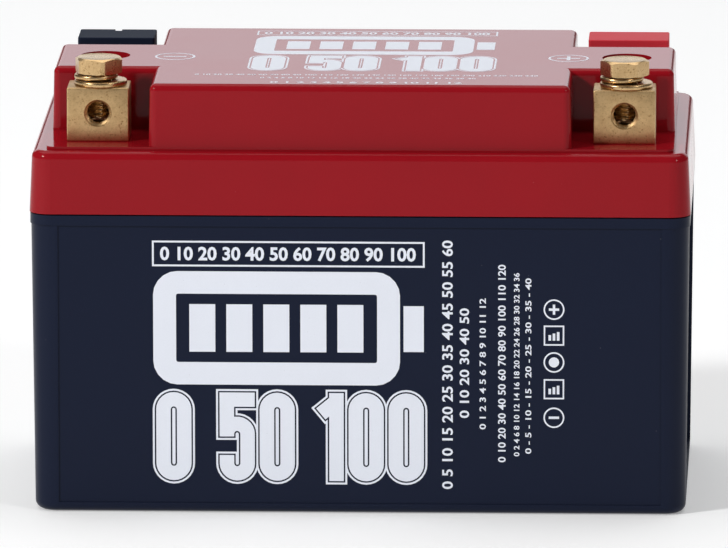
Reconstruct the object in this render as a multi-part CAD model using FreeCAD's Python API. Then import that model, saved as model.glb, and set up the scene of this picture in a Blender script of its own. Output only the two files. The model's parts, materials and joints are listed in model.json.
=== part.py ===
"""Motorcycle battery: case, cross-topped lid, four terminal blocks, screws, covers and the cell pack.

Millimetres. The origin is the centre of the base on the surface it stands on: X along the length,
Y towards the back, Z up. The two blocks with screws are at the front, on the -Y side.
"""
import FreeCAD
import Part
import math
import os

# ---- overall sizes -------------------------------------------------------------------------------
RIM_LENGTH = 150.0
RIM_WIDTH = 87.0
CASE_HEIGHT = 68.5
RIM_HEIGHT = 14.25
PLATEAU_HEIGHT = 15.05

# ---- lid -----------------------------------------------------------------------------------------
RIM_DRAFT = 0.65
RIM_CORNER = 5.0
RIM_EDGE_ROUND = 1.8
LEDGE_WIDTH = 3.6
PAD_HEIGHT = 0.7
PLATEAU_DRAFT = 0.4
PLATEAU_CORNER = 1.9
PLATEAU_EDGE_ROUND = 1.5
LID_WALL = 2.2
SKIRT_WALL = 2.6
RECESS_DIAMETER = 11.3
RECESS_DEPTH = 2.5
RECESS_ROOF = 2.0

# ---- case ----------------------------------------------------------------------------------------
CASE_OVERHANG = 0.3
CASE_DRAFT = 0.7
CASE_CORNER = 5.0
BASE_ROUND = 2.0
BASE_BAND = 2.2
CASE_WALL = 1.9
CASE_FLOOR = 2.8
COLLAR_HEIGHT = 2.3
COLLAR_PROUD = 0.15
PANEL_DEPTH = 0.25
PANEL_POST = 6.3
SIDE_PANEL_DEPTH = 0.8
SIDE_PANEL_POST = 6.5
TONGUE_GAP = 0.3
INNER_CORNER = 2.5
SHADOW_GAP = 0.3
SEAL_HEIGHT = 1.5

# ---- terminal blocks -----------------------------------------------------------------------------
BLOCK_LENGTH = 14.07
BLOCK_DEPTH = 10.8
BLOCK_HEIGHT = 12.3
BLOCK_OUTER_GAP = 4.32
BLOCK_INNER_GAP = 4.69
BLOCK_OPEN_GAP = 7.05
BLOCK_NECK_GAP = 5.55
BLOCK_EDGE = 0.35
THREAD_DIAMETER = 6.0
TOP_HOLE_DEPTH = 10.0
FRONT_HOLE_HEIGHT = 6.45
MOUTH_CHAMFER = 0.15
LEG_DIAMETER = 7.0
LEG_SEAL_WALL = 1.5

# ---- screws and washers --------------------------------------------------------------------------
SCREW_LENGTH = 10.0
SCREW_CLEARANCE = 0.05
SCREW_TIP = 0.5
HEAD_ACROSS_FLATS = 10.0
HEAD_HEIGHT = 3.55
HEAD_SIDES = 6
HEAD_CORNER_CUT = 0.35
HEAD_BEVEL = 30.0
HEAD_TURN_LEFT = -17.6
HEAD_TURN_RIGHT = -3.0
SPRING_WASHER_BAND = 1.32
SPRING_WASHER_HEIGHT = 1.55
SPRING_WASHER_GAP = 0.9
SPRING_WASHER_CLEARANCE = 0.65
SPRING_WASHER_SHIFT = -0.65
SPRING_WASHER_TURN = 60.0
SPRING_WASHER_SLANT = 30.0
FLAT_WASHER_BAND = 2.6
FLAT_WASHER_HEIGHT = 1.15
FLAT_WASHER_CLEARANCE = 0.4
FLAT_WASHER_SHIFT = 0.4
SEAT_GAP = 0.05

# ---- terminal covers -----------------------------------------------------------------------------
COVER_SIDE_WALL_LEFT = 1.615
COVER_SIDE_WALL_RIGHT = 2.015
COVER_END_WALL = 0.4
COVER_ROOF = 2.3
COVER_CLEARANCE = 0.2
COVER_FLOOR_GAP = 0.3
COVER_CORNER = 0.6
COVER_EDGE_ROUND = 0.25
COVER_SHIFT_LEFT = 1.2
NOTCH_WIDTH = 1.6
NOTCH_DEPTH = 2.2
NOTCH_HEIGHT = 1.6

# ---- cell pack -----------------------------------------------------------------------------------
CELL_COUNT = 4
END_PAD = 2.35
HEADROOM = 12.95
CELL_SIDE_GAP = 1.0
CELL_CORNER = 2.0
SPACER_THICKNESS = 0.9
PACK_GAP = 0.05
BASE_PAD = 1.6
POST_DIAMETER = 9.0
POST_HEIGHT = 3.0
POST_SPREAD = 40.0
BUSBAR_WIDTH = 14.0
BUSBAR_THICKNESS = 1.5
BUSBAR_ROUND = 3.0
LINK_WIDTH = 10.0
LINK_THICKNESS = 1.5
LINK_OVERLAP = 4.0
LINK_DROP = 5.05
STRAP_WIDTH = 12.0
STRAP_FOOT = 10.0

# ---- control board -------------------------------------------------------------------------------
BOARD_CLEARANCE = 2.4
BOARD_THICKNESS = 1.6
BOARD_DROP = 9.0
BOARD_HOLE_INSET = 5.0
BOSS_DIAMETER = 6.5
BOARD_SCREW_DIAMETER = 2.5
BOARD_SCREW_HEAD = 5.4
BOARD_SCREW_HEAD_HEIGHT = 2.0
BOARD_SCREW_GRIP = 5.0
BOARD_HOLE_GAP = 0.2
SWITCH_COUNT = 4
SWITCH_SIZE = (10.0, 9.0, 4.4)
SWITCH_PITCH = 17.0
SWITCH_ROW = -20.0
SHUNT_SIZE = (18.0, 6.0, 2.0)
SHUNT_PLACE = (-18.0, 16.0)
CHIP_SIZE = (9.0, 9.0, 1.6)
CHIP_PLACE = (16.0, 12.0)
CONNECTOR_SIZE = (12.0, 6.0, 4.4)
CONNECTOR_ROW = 4.0
WIRE_DIAMETER = 1.6
WIRE_PITCH = 3.4
WIRE_BEND = 2.4

# ---- derived sizes -------------------------------------------------------------------------------
TOLERANCE = 0.001
OVERRUN = 5.0
RIM_HALF_X = RIM_LENGTH / 2
RIM_HALF_Y = RIM_WIDTH / 2
RIM_BOTTOM = CASE_HEIGHT + SHADOW_GAP
LEDGE_TOP = RIM_BOTTOM + RIM_HEIGHT
PLATEAU_TOP = LEDGE_TOP + PLATEAU_HEIGHT
PLATEAU_HALF_X = RIM_HALF_X - RIM_DRAFT / 2 - LEDGE_WIDTH
PLATEAU_HALF_Y = RIM_HALF_Y - LEDGE_WIDTH
BLOCK_CENTRE_X = PLATEAU_HALF_X - BLOCK_OUTER_GAP - BLOCK_LENGTH / 2
BLOCK_CENTRE_Y = PLATEAU_HALF_Y - BLOCK_OPEN_GAP - BLOCK_DEPTH / 2
CENTRE_HALF_X = BLOCK_CENTRE_X - BLOCK_LENGTH / 2 - BLOCK_INNER_GAP
NECK_HALF_Y = BLOCK_CENTRE_Y - BLOCK_DEPTH / 2 - BLOCK_NECK_GAP
PAD_TOP = LEDGE_TOP + PAD_HEIGHT
LID_UNDERSIDE = LEDGE_TOP - LID_WALL
SKIRT_INNER_X = RIM_HALF_X - SKIRT_WALL
SKIRT_INNER_Y = RIM_HALF_Y - SKIRT_WALL
TONGUE_X = SKIRT_INNER_X - TONGUE_GAP
TONGUE_Y = SKIRT_INNER_Y - TONGUE_GAP
INNER_X = TONGUE_X - CASE_WALL
INNER_Y = TONGUE_Y - CASE_WALL
CASE_HALF_X = RIM_HALF_X - CASE_OVERHANG
CASE_HALF_Y = RIM_HALF_Y - CASE_OVERHANG
COLLAR_BOTTOM = CASE_HEIGHT - COLLAR_HEIGHT
TONGUE_TOP = LID_UNDERSIDE - SEAL_HEIGHT
BLOCK_TOP = PAD_TOP + BLOCK_HEIGHT
LEG_BOTTOM = PAD_TOP - LINK_DROP
FLAT_WASHER_BOTTOM = BLOCK_TOP + SEAT_GAP
SPRING_WASHER_BOTTOM = FLAT_WASHER_BOTTOM + FLAT_WASHER_HEIGHT
HEAD_BOTTOM = SPRING_WASHER_BOTTOM + SPRING_WASHER_HEIGHT + SEAT_GAP
FLAT_WASHER_BORE = THREAD_DIAMETER / 2 + FLAT_WASHER_CLEARANCE
SPRING_WASHER_BORE = THREAD_DIAMETER / 2 + SPRING_WASHER_CLEARANCE
COVER_DEPTH = BLOCK_DEPTH + 2 * (COVER_CLEARANCE + COVER_END_WALL)
COVER_TOP = BLOCK_TOP + COVER_CLEARANCE + COVER_ROOF
CELL_BOTTOM = CASE_FLOOR + BASE_PAD
CELL_TOP = LID_UNDERSIDE - HEADROOM
CELL_HEIGHT = CELL_TOP - CELL_BOTTOM
PACK_HALF_X = INNER_X - END_PAD
CELL_THICKNESS = (2 * PACK_HALF_X - (CELL_COUNT - 1) * SPACER_THICKNESS) / CELL_COUNT
CELL_PITCH = CELL_THICKNESS + SPACER_THICKNESS
POST_TOP = CELL_TOP + POST_HEIGHT
BUSBAR_TOP = POST_TOP + BUSBAR_THICKNESS
CELL_HALF_Y = INNER_Y - CELL_SIDE_GAP
CAVITY_TOP = PLATEAU_TOP - LID_WALL
BOARD_TOP = CAVITY_TOP - BOARD_DROP
BOARD_BOTTOM = BOARD_TOP - BOARD_THICKNESS
BOARD_HALF_X = CENTRE_HALF_X - PLATEAU_DRAFT - LID_WALL - BOARD_CLEARANCE
BOARD_HALF_Y = PLATEAU_HALF_Y - PLATEAU_DRAFT - LID_WALL - BOARD_CLEARANCE
BOSS_X = BOARD_HALF_X - BOARD_HOLE_INSET
BOSS_Y = BOARD_HALF_Y - BOARD_HOLE_INSET
CONNECTOR_BOTTOM = BOARD_BOTTOM - CONNECTOR_SIZE[2]
WIRE_LEVEL = (CONNECTOR_BOTTOM + BUSBAR_TOP) / 2

V = FreeCAD.Vector
UP = V(0, 0, 1)
BACKWARDS = V(0, 1, 0)
FULL_TURN = 360.0
QUARTER_TURN = FULL_TURN / 4
CORNERS = ((1, 1), (-1, 1), (-1, -1), (1, -1))
SIDES = (("left", -1), ("right", 1))
ENDS = (("front", -1), ("rear", 1))


def spoke(radius, degrees):
    """Return the vector of one length in the XY plane at an angle from +X."""
    return V(radius * math.cos(math.radians(degrees)), radius * math.sin(math.radians(degrees)), 0)


def rounded_outline(half_x, half_y, radius, level):
    """Return the closed wire of a round-cornered rectangle centred on the Z axis."""
    arcs = []
    for index, (side_x, side_y) in enumerate(CORNERS):
        middle = V(side_x * (half_x - radius), side_y * (half_y - radius), level)
        start = index * QUARTER_TURN
        turns = (start, start + QUARTER_TURN / 2, start + QUARTER_TURN)
        arcs.append([middle + spoke(radius, turn) for turn in turns])
    edges = []
    for index, (first, halfway, last) in enumerate(arcs):
        edges.append(Part.Arc(first, halfway, last).toShape())
        edges.append(Part.makeLine(last, arcs[(index + 1) % len(arcs)][0]))
    return Part.Wire(edges)


def drafted_block(half_x, half_y, radius, bottom, top, draft):
    """Return a round-cornered block whose walls lean in by the draft from bottom to top."""
    lower = rounded_outline(half_x, half_y, radius, bottom)
    upper = rounded_outline(half_x - draft, half_y - draft, radius - draft, top)
    return Part.makeLoft([lower, upper], True, True)


def box_between(low, high):
    """Return the box between two opposite corners."""
    size = high - low
    return Part.makeBox(size.x, size.y, size.z, low)


def slab(size, centre_x, centre_y, bottom):
    """Return a box of a given size by the middle of its bottom face."""
    length, width, height = size
    corner = V(centre_x - length / 2, centre_y - width / 2, bottom)
    return Part.makeBox(length, width, height, corner)


def edges_at(shape, level):
    """Return the edges of a shape that lie in one level plane."""
    return [edge for edge in shape.Edges
            if all(abs(vertex.Z - level) < TOLERANCE for vertex in edge.Vertexes)]


def upright_edges(shape):
    """Return the straight edges of a shape that run along Z."""
    return [edge for edge in shape.Edges
            if len(edge.Vertexes) == 2
            and (edge.Vertexes[0].Point - edge.Vertexes[1].Point).cross(UP).Length < TOLERANCE]


def ring(outer_radius, inner_radius, centre, height):
    """Return a flat ring standing on a centre point."""
    body = Part.makeCylinder(outer_radius, height, centre, UP)
    return body.cut(Part.makeCylinder(inner_radius, height, centre, UP))


# ---- case and lid --------------------------------------------------------------------------------
def panel_cutters():
    """Return the shallow recesses of the four walls of the case, as solids to cut away."""
    long_x = CASE_HALF_X - CASE_DRAFT + OVERRUN
    long_y = CASE_HALF_Y - CASE_DRAFT - PANEL_DEPTH
    short_x = CASE_HALF_X - CASE_DRAFT - SIDE_PANEL_DEPTH
    short_y = CASE_HALF_Y - CASE_DRAFT + OVERRUN
    between_long = drafted_block(long_x, long_y, CASE_CORNER, 0, CASE_HEIGHT, -CASE_DRAFT)
    between_short = drafted_block(short_x, short_y, CASE_CORNER, 0, CASE_HEIGHT, -CASE_DRAFT)
    front_x = CASE_HALF_X - PANEL_POST
    side_y = CASE_HALF_Y - SIDE_PANEL_POST
    long_walls = box_between(V(-front_x, -RIM_WIDTH, BASE_BAND), V(front_x, RIM_WIDTH, COLLAR_BOTTOM))
    short_walls = box_between(V(-RIM_LENGTH, -side_y, BASE_BAND), V(RIM_LENGTH, side_y, COLLAR_BOTTOM))
    return long_walls.cut(between_long), short_walls.cut(between_short)


def case():
    """Return the open-topped box with its collar and the tongue that enters the lid."""
    low_x = CASE_HALF_X - CASE_DRAFT
    low_y = CASE_HALF_Y - CASE_DRAFT
    shell = drafted_block(low_x, low_y, CASE_CORNER, 0, CASE_HEIGHT, -CASE_DRAFT)
    shell = shell.makeFillet(BASE_ROUND, edges_at(shell, 0))
    for cutter in panel_cutters():
        shell = shell.cut(cutter)
    collar_x = CASE_HALF_X + COLLAR_PROUD
    collar_y = CASE_HALF_Y + COLLAR_PROUD
    shell = shell.fuse(drafted_block(collar_x, collar_y, CASE_CORNER, COLLAR_BOTTOM, CASE_HEIGHT, 0))
    tongue_corner = CASE_CORNER - SKIRT_WALL
    shell = shell.fuse(drafted_block(TONGUE_X, TONGUE_Y, tongue_corner, COLLAR_BOTTOM, TONGUE_TOP, 0))
    hollow = drafted_block(INNER_X, INNER_Y, INNER_CORNER, CASE_FLOOR, TONGUE_TOP + OVERRUN, 0)
    return shell.cut(hollow).removeSplitter()


def plateau():
    """Return the cross-shaped raised middle of the lid, before it is hollowed."""
    arms = []
    for half_x, half_y in ((CENTRE_HALF_X, PLATEAU_HALF_Y), (PLATEAU_HALF_X, NECK_HALF_Y)):
        arm = drafted_block(half_x, half_y, PLATEAU_CORNER, LID_UNDERSIDE, PLATEAU_TOP, PLATEAU_DRAFT)
        arms.append(arm.makeFillet(PLATEAU_EDGE_ROUND, edges_at(arm, PLATEAU_TOP)))
    return arms[0].fuse(arms[1])


def lid_hollow():
    """Return the space inside the lid: the skirt's inside and the cross above it."""
    opening = RIM_BOTTOM - OVERRUN
    skirt = drafted_block(SKIRT_INNER_X, SKIRT_INNER_Y, INNER_CORNER, opening, LID_UNDERSIDE, 0)
    centre_x = CENTRE_HALF_X - PLATEAU_DRAFT - LID_WALL
    centre_y = PLATEAU_HALF_Y - PLATEAU_DRAFT - LID_WALL
    neck_x = PLATEAU_HALF_X - PLATEAU_DRAFT - LID_WALL
    neck_y = NECK_HALF_Y - PLATEAU_DRAFT - LID_WALL
    neck_top = PLATEAU_TOP - RECESS_DEPTH - RECESS_ROOF
    start = LID_UNDERSIDE - OVERRUN
    hollow = skirt.fuse(box_between(V(-centre_x, -centre_y, start), V(centre_x, centre_y, CAVITY_TOP)))
    return hollow.fuse(box_between(V(-neck_x, -neck_y, start), V(neck_x, neck_y, neck_top)))


def lid():
    """Return the lid: skirt, ledge, pads, hollow cross, leg holes, round recesses and board bosses."""
    rim = drafted_block(RIM_HALF_X, RIM_HALF_Y, RIM_CORNER, RIM_BOTTOM, LEDGE_TOP, RIM_DRAFT)
    body = rim.makeFillet(RIM_EDGE_ROUND, edges_at(rim, LEDGE_TOP))
    pad = drafted_block(PLATEAU_HALF_X, PLATEAU_HALF_Y, PLATEAU_CORNER, LID_UNDERSIDE, PAD_TOP, 0)
    body = body.fuse([pad, plateau()]).cut(lid_hollow())
    hole_radius = LEG_DIAMETER / 2 + LEG_SEAL_WALL
    for _, side in SIDES:
        top = V(side * BLOCK_CENTRE_X, 0, PLATEAU_TOP - RECESS_DEPTH)
        body = body.cut(Part.makeCylinder(RECESS_DIAMETER / 2, RECESS_DEPTH + OVERRUN, top, UP))
        for _, end in ENDS:
            foot = V(side * BLOCK_CENTRE_X, end * BLOCK_CENTRE_Y, LID_UNDERSIDE - OVERRUN)
            body = body.cut(Part.makeCylinder(hole_radius, 2 * OVERRUN + LID_WALL, foot, UP))
    for side_x, side_y in CORNERS:
        foot = V(side_x * BOSS_X, side_y * BOSS_Y, BOARD_TOP)
        body = body.fuse(Part.makeCylinder(BOSS_DIAMETER / 2, BOARD_DROP + LID_WALL / 2, foot, UP))
        pilot = BOARD_SCREW_DIAMETER / 2 + PACK_GAP
        body = body.cut(Part.makeCylinder(pilot, BOARD_SCREW_GRIP + LID_WALL / 2, foot, UP))
    return body.removeSplitter()


def lid_seal():
    """Return the soft ring squeezed between the tongue of the case and the lid."""
    outer = drafted_block(TONGUE_X, TONGUE_Y, CASE_CORNER - SKIRT_WALL, TONGUE_TOP, LID_UNDERSIDE, 0)
    inner_corner = INNER_CORNER - TONGUE_GAP
    return outer.cut(drafted_block(INNER_X, INNER_Y, inner_corner, TONGUE_TOP, LID_UNDERSIDE, 0))


# ---- terminals, screws and covers ----------------------------------------------------------------
def chamfered_hole(mouth, direction, depth):
    """Return a round hole with a small chamfer at its mouth, as a solid to cut away."""
    radius = THREAD_DIAMETER / 2
    hole = Part.makeCylinder(radius, depth, mouth, direction)
    return hole.fuse(Part.makeCone(radius + MOUTH_CHAMFER, radius, MOUTH_CHAMFER, mouth, direction))


def terminal(side, end):
    """Return one brass block with its leg, its screw hole from the top and its hole from front to back."""
    x = side * BLOCK_CENTRE_X
    y = end * BLOCK_CENTRE_Y
    block = slab((BLOCK_LENGTH, BLOCK_DEPTH, BLOCK_HEIGHT), x, y, PAD_TOP)
    block = block.makeChamfer(BLOCK_EDGE, block.Edges)
    leg = Part.makeCylinder(LEG_DIAMETER / 2, LINK_DROP + BLOCK_EDGE, V(x, y, LEG_BOTTOM), UP)
    block = block.fuse(leg)
    block = block.cut(chamfered_hole(V(x, y, BLOCK_TOP), -UP, TOP_HOLE_DEPTH))
    front = V(x, y - BLOCK_DEPTH / 2, PAD_TOP + FRONT_HOLE_HEIGHT)
    back = front + BACKWARDS * BLOCK_DEPTH
    block = block.cut(chamfered_hole(front, BACKWARDS, BLOCK_DEPTH))
    return block.cut(chamfered_hole(back, -BACKWARDS, BLOCK_DEPTH)).removeSplitter()


def leg_seal(side, end):
    """Return the soft ring round a terminal's leg where it passes the lid."""
    foot = V(side * BLOCK_CENTRE_X, end * BLOCK_CENTRE_Y, LID_UNDERSIDE)
    inner = LEG_DIAMETER / 2 + PACK_GAP
    return ring(inner + LEG_SEAL_WALL - 2 * PACK_GAP, inner, foot, PAD_TOP - PACK_GAP - LID_UNDERSIDE)


def screw(side, turn):
    """Return a hexagon-headed screw standing in a front block."""
    x = side * BLOCK_CENTRE_X
    y = -BLOCK_CENTRE_Y
    seat = V(x, y, HEAD_BOTTOM)
    corner_radius = HEAD_ACROSS_FLATS / math.sqrt(3)
    turns = [turn + index * FULL_TURN / HEAD_SIDES for index in range(HEAD_SIDES + 1)]
    outline = Part.makePolygon([seat + spoke(corner_radius, degrees) for degrees in turns])
    bevel_radius = corner_radius - HEAD_CORNER_CUT
    slope = HEAD_HEIGHT / math.tan(math.radians(HEAD_BEVEL))
    cone = Part.makeCone(bevel_radius + slope, bevel_radius, HEAD_HEIGHT, seat, UP)
    head = Part.Face(outline).extrude(UP * HEAD_HEIGHT).common(cone)
    shank_radius = THREAD_DIAMETER / 2 - SCREW_CLEARANCE
    tip = V(x, y, HEAD_BOTTOM - SCREW_LENGTH)
    shank = Part.makeCylinder(shank_radius, SCREW_LENGTH + TOLERANCE, tip, UP)
    shank = shank.makeChamfer(SCREW_TIP, [edge for edge in edges_at(shank, tip.z) if edge.Closed])
    return head.fuse(shank).removeSplitter()


def flat_washer(side):
    """Return the flat washer on a front block."""
    centre = V(side * BLOCK_CENTRE_X + FLAT_WASHER_SHIFT, -BLOCK_CENTRE_Y, FLAT_WASHER_BOTTOM)
    return ring(FLAT_WASHER_BORE + FLAT_WASHER_BAND, FLAT_WASHER_BORE, centre, FLAT_WASHER_HEIGHT)


def spring_washer(side):
    """Return the split spring washer under a screw head."""
    centre = V(side * BLOCK_CENTRE_X + SPRING_WASHER_SHIFT, -BLOCK_CENTRE_Y, SPRING_WASHER_BOTTOM)
    outer = SPRING_WASHER_BORE + SPRING_WASHER_BAND
    whole = ring(outer, SPRING_WASHER_BORE, centre, SPRING_WASHER_HEIGHT)
    reach = 2 * outer
    split = Part.makeBox(reach, SPRING_WASHER_GAP, reach, centre - V(0, SPRING_WASHER_GAP / 2, reach / 2))
    split.rotate(centre, V(1, 0, 0), SPRING_WASHER_SLANT)
    split.rotate(centre, UP, SPRING_WASHER_TURN)
    return whole.cut(split)


def cover(side, wall, shift, notched):
    """Return one push-on cap for a rear block, with a pull notch in its rear top edge if asked."""
    x = side * BLOCK_CENTRE_X
    bottom = PAD_TOP + COVER_FLOOR_GAP
    length = BLOCK_LENGTH + 2 * (COVER_CLEARANCE + wall)
    cap = slab((length, COVER_DEPTH, COVER_TOP - bottom), x + shift, BLOCK_CENTRE_Y, bottom)
    cap = cap.makeFillet(COVER_CORNER, upright_edges(cap))
    cap = cap.makeFillet(COVER_EDGE_ROUND, edges_at(cap, COVER_TOP))
    inside = (BLOCK_LENGTH + 2 * COVER_CLEARANCE, BLOCK_DEPTH + 2 * COVER_CLEARANCE,
              BLOCK_TOP + COVER_CLEARANCE - bottom)
    cap = cap.cut(slab(inside, x, BLOCK_CENTRE_Y, bottom))
    if notched:
        rear = BLOCK_CENTRE_Y + COVER_DEPTH / 2
        notch = (NOTCH_WIDTH, 2 * NOTCH_DEPTH, NOTCH_HEIGHT + OVERRUN)
        cap = cap.cut(slab(notch, x + shift, rear, COVER_TOP - NOTCH_HEIGHT))
    return cap


# ---- cell pack -----------------------------------------------------------------------------------
def cell_centre(index):
    """Return the X of the middle of one cell, counted from the left."""
    return (index - (CELL_COUNT - 1) / 2) * CELL_PITCH


def cell(index):
    """Return one flat cell with rounded upright edges."""
    size = (CELL_THICKNESS - PACK_GAP, 2 * CELL_HALF_Y, CELL_HEIGHT)
    block = slab(size, cell_centre(index), 0, CELL_BOTTOM)
    return block.makeFillet(CELL_CORNER, upright_edges(block))


def post(index, end):
    """Return one pole of a cell."""
    foot = V(cell_centre(index), end * POST_SPREAD / 2, CELL_TOP)
    return Part.makeCylinder(POST_DIAMETER / 2, POST_HEIGHT, foot, UP)


def busbar(index):
    """Return the bar that joins one cell to the next, on the rear or front poles in turn."""
    x = (cell_centre(index) + cell_centre(index + 1)) / 2
    y = (POST_SPREAD / 2) * (-1) ** index
    bar = slab((CELL_PITCH + BUSBAR_WIDTH, BUSBAR_WIDTH, BUSBAR_THICKNESS), x, y, POST_TOP)
    return bar.makeFillet(BUSBAR_ROUND, upright_edges(bar))


def link_bar(side):
    """Return the bar that joins the front and rear terminals of one side."""
    size = (LINK_WIDTH, 2 * (BLOCK_CENTRE_Y + LINK_OVERLAP), LINK_THICKNESS)
    return slab(size, side * BLOCK_CENTRE_X, 0, LEG_BOTTOM - LINK_THICKNESS)


def power_strap(side):
    """Return the stepped strap from the last pole of one side up to its link bar."""
    pole = cell_centre(CELL_COUNT - 1)
    top = LEG_BOTTOM - LINK_THICKNESS
    foot_in = pole - STRAP_FOOT / 2
    foot_out = pole + STRAP_FOOT / 2
    riser = foot_out + BUSBAR_THICKNESS
    reach = BLOCK_CENTRE_X + LINK_WIDTH / 2
    outline = [(foot_in, POST_TOP), (riser, POST_TOP), (riser, top - BUSBAR_THICKNESS),
               (reach, top - BUSBAR_THICKNESS), (reach, top), (foot_out, top),
               (foot_out, BUSBAR_TOP), (foot_in, BUSBAR_TOP), (foot_in, POST_TOP)]
    start = -POST_SPREAD / 2 - STRAP_WIDTH / 2
    profile = Part.makePolygon([V(side * x, start, z) for x, z in outline])
    return Part.Face(profile).extrude(BACKWARDS * STRAP_WIDTH)


def spacer(index):
    """Return the thin sheet between two cells."""
    x = (cell_centre(index) + cell_centre(index + 1)) / 2
    return slab((SPACER_THICKNESS - PACK_GAP, 2 * CELL_HALF_Y, CELL_HEIGHT), x, 0, CELL_BOTTOM)


def end_pad(side):
    """Return the foam pad between the last cell and the short wall of the case."""
    thickness = END_PAD - 2 * PACK_GAP
    x = side * (INNER_X + PACK_HALF_X) / 2
    return slab((thickness, 2 * CELL_HALF_Y - 2 * INNER_CORNER, CELL_HEIGHT), x, 0, CELL_BOTTOM)


def base_pad():
    """Return the foam sheet that the cells stand on."""
    return slab((2 * (INNER_X - INNER_CORNER), 2 * (INNER_Y - INNER_CORNER), BASE_PAD), 0, 0, CASE_FLOOR)


# ---- control board -------------------------------------------------------------------------------
def board():
    """Return the control board with its four screw holes."""
    plate = slab((2 * BOARD_HALF_X, 2 * BOARD_HALF_Y, BOARD_THICKNESS), 0, 0, BOARD_BOTTOM)
    radius = BOARD_SCREW_DIAMETER / 2 + BOARD_HOLE_GAP
    for side_x, side_y in CORNERS:
        foot = V(side_x * BOSS_X, side_y * BOSS_Y, BOARD_BOTTOM)
        plate = plate.cut(Part.makeCylinder(radius, BOARD_THICKNESS, foot, UP))
    return plate


def board_screw(side_x, side_y):
    """Return one screw that holds the board up against its boss."""
    seat = V(side_x * BOSS_X, side_y * BOSS_Y, BOARD_BOTTOM)
    head = Part.makeCylinder(BOARD_SCREW_HEAD / 2, BOARD_SCREW_HEAD_HEIGHT, seat, -UP)
    shank_length = BOARD_THICKNESS + BOARD_SCREW_GRIP
    return head.fuse(Part.makeCylinder(BOARD_SCREW_DIAMETER / 2, shank_length, seat, UP))


def wire_segments(points):
    """Return the edges of a path through some points with an arc at every bend."""
    edges = []
    start = points[0]
    for before, corner, after in zip(points, points[1:], points[2:]):
        inward = (before - corner).normalize()
        outward = (after - corner).normalize()
        first = corner + inward * WIRE_BEND
        last = corner + outward * WIRE_BEND
        centre = corner + (inward + outward) * WIRE_BEND
        halfway = centre + (corner - centre).normalize() * WIRE_BEND
        edges.append(Part.makeLine(start, first))
        edges.append(Part.Arc(first, halfway, last).toShape())
        start = last
    edges.append(Part.makeLine(start, points[-1]))
    return edges


def sense_wire(index):
    """Return the wire from the board's connector down to one busbar, made whole along its route."""
    middle = (CELL_COUNT - 2) / 2
    x = (index - middle) * WIRE_PITCH
    end_x = (cell_centre(index) + cell_centre(index + 1)) / 2
    end_y = (POST_SPREAD / 2) * (-1) ** index
    route = [V(x, CONNECTOR_ROW, CONNECTOR_BOTTOM), V(x, CONNECTOR_ROW, WIRE_LEVEL),
             V(end_x, end_y, WIRE_LEVEL), V(end_x, end_y, BUSBAR_TOP)]
    path = Part.Wire(wire_segments(route))
    section = Part.Wire(Part.makeCircle(WIRE_DIAMETER / 2, route[0], UP))
    return path.makePipeShell([section], True, True)


def export(shape, node):
    """Write one sub-part to its own file."""
    shape.exportStep("parts/" + node + ".step")


def export_housing():
    """Write the case, the lid and the seal between them."""
    export(case(), "case")
    export(lid(), "lid")
    export(lid_seal(), "lid_seal")


def export_terminals():
    """Write the blocks, leg seals, screws, washers, covers, links and straps of both sides."""
    turns = {"left": HEAD_TURN_LEFT, "right": HEAD_TURN_RIGHT}
    walls = {"left": COVER_SIDE_WALL_LEFT, "right": COVER_SIDE_WALL_RIGHT}
    shifts = {"left": COVER_SHIFT_LEFT, "right": 0.0}
    for name, side in SIDES:
        for end_name, end in ENDS:
            export(terminal(side, end), "terminal_" + end_name + "_" + name)
            export(leg_seal(side, end), "leg_seal_" + end_name + "_" + name)
        export(screw(side, turns[name]), "screw_" + name)
        export(flat_washer(side), "flat_washer_" + name)
        export(spring_washer(side), "spring_washer_" + name)
        export(cover(side, walls[name], shifts[name], name == "left"), "cover_" + name)
        export(link_bar(side), "link_bar_" + name)
        export(power_strap(side), "power_strap_" + name)
        export(end_pad(side), "end_pad_" + name)


def export_pack():
    """Write the cells with their poles, bars, sheets and pads."""
    export(base_pad(), "base_pad")
    for index in range(CELL_COUNT):
        export(cell(index), "cell_" + str(index + 1))
        for end_name, end in ENDS:
            export(post(index, end), "pole_" + end_name + "_" + str(index + 1))
    for index in range(CELL_COUNT - 1):
        export(busbar(index), "busbar_" + str(index + 1))
        export(spacer(index), "spacer_" + str(index + 1))
        export(sense_wire(index), "sense_wire_" + str(index + 1))


def export_board():
    """Write the control board, what is on it and its screws."""
    export(board(), "board")
    export(slab(SHUNT_SIZE, *SHUNT_PLACE, BOARD_TOP), "shunt")
    export(slab(CHIP_SIZE, *CHIP_PLACE, BOARD_TOP), "control_chip")
    export(slab(CONNECTOR_SIZE, 0, CONNECTOR_ROW, CONNECTOR_BOTTOM), "connector")
    for index in range(SWITCH_COUNT):
        x = (index - (SWITCH_COUNT - 1) / 2) * SWITCH_PITCH
        export(slab(SWITCH_SIZE, x, SWITCH_ROW, BOARD_TOP), "switch_" + str(index + 1))
    for index, (side_x, side_y) in enumerate(CORNERS):
        export(board_screw(side_x, side_y), "board_screw_" + str(index + 1))


os.makedirs("parts", exist_ok=True)
export_housing()
export_terminals()
export_pack()
export_board()
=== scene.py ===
"""Looks of a motorcycle battery: moulded housing, brass terminals, ink marks and the cell pack inside."""

import json
import logging
import math
from collections.abc import Callable, Iterable, Mapping, Sequence
from dataclasses import dataclass
from enum import Enum
from typing import Any

import bmesh
import bpy
from mathutils import Matrix, Vector
from mathutils.bvhtree import BVHTree
from mathutils.geometry import delaunay_2d_cdt


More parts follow.
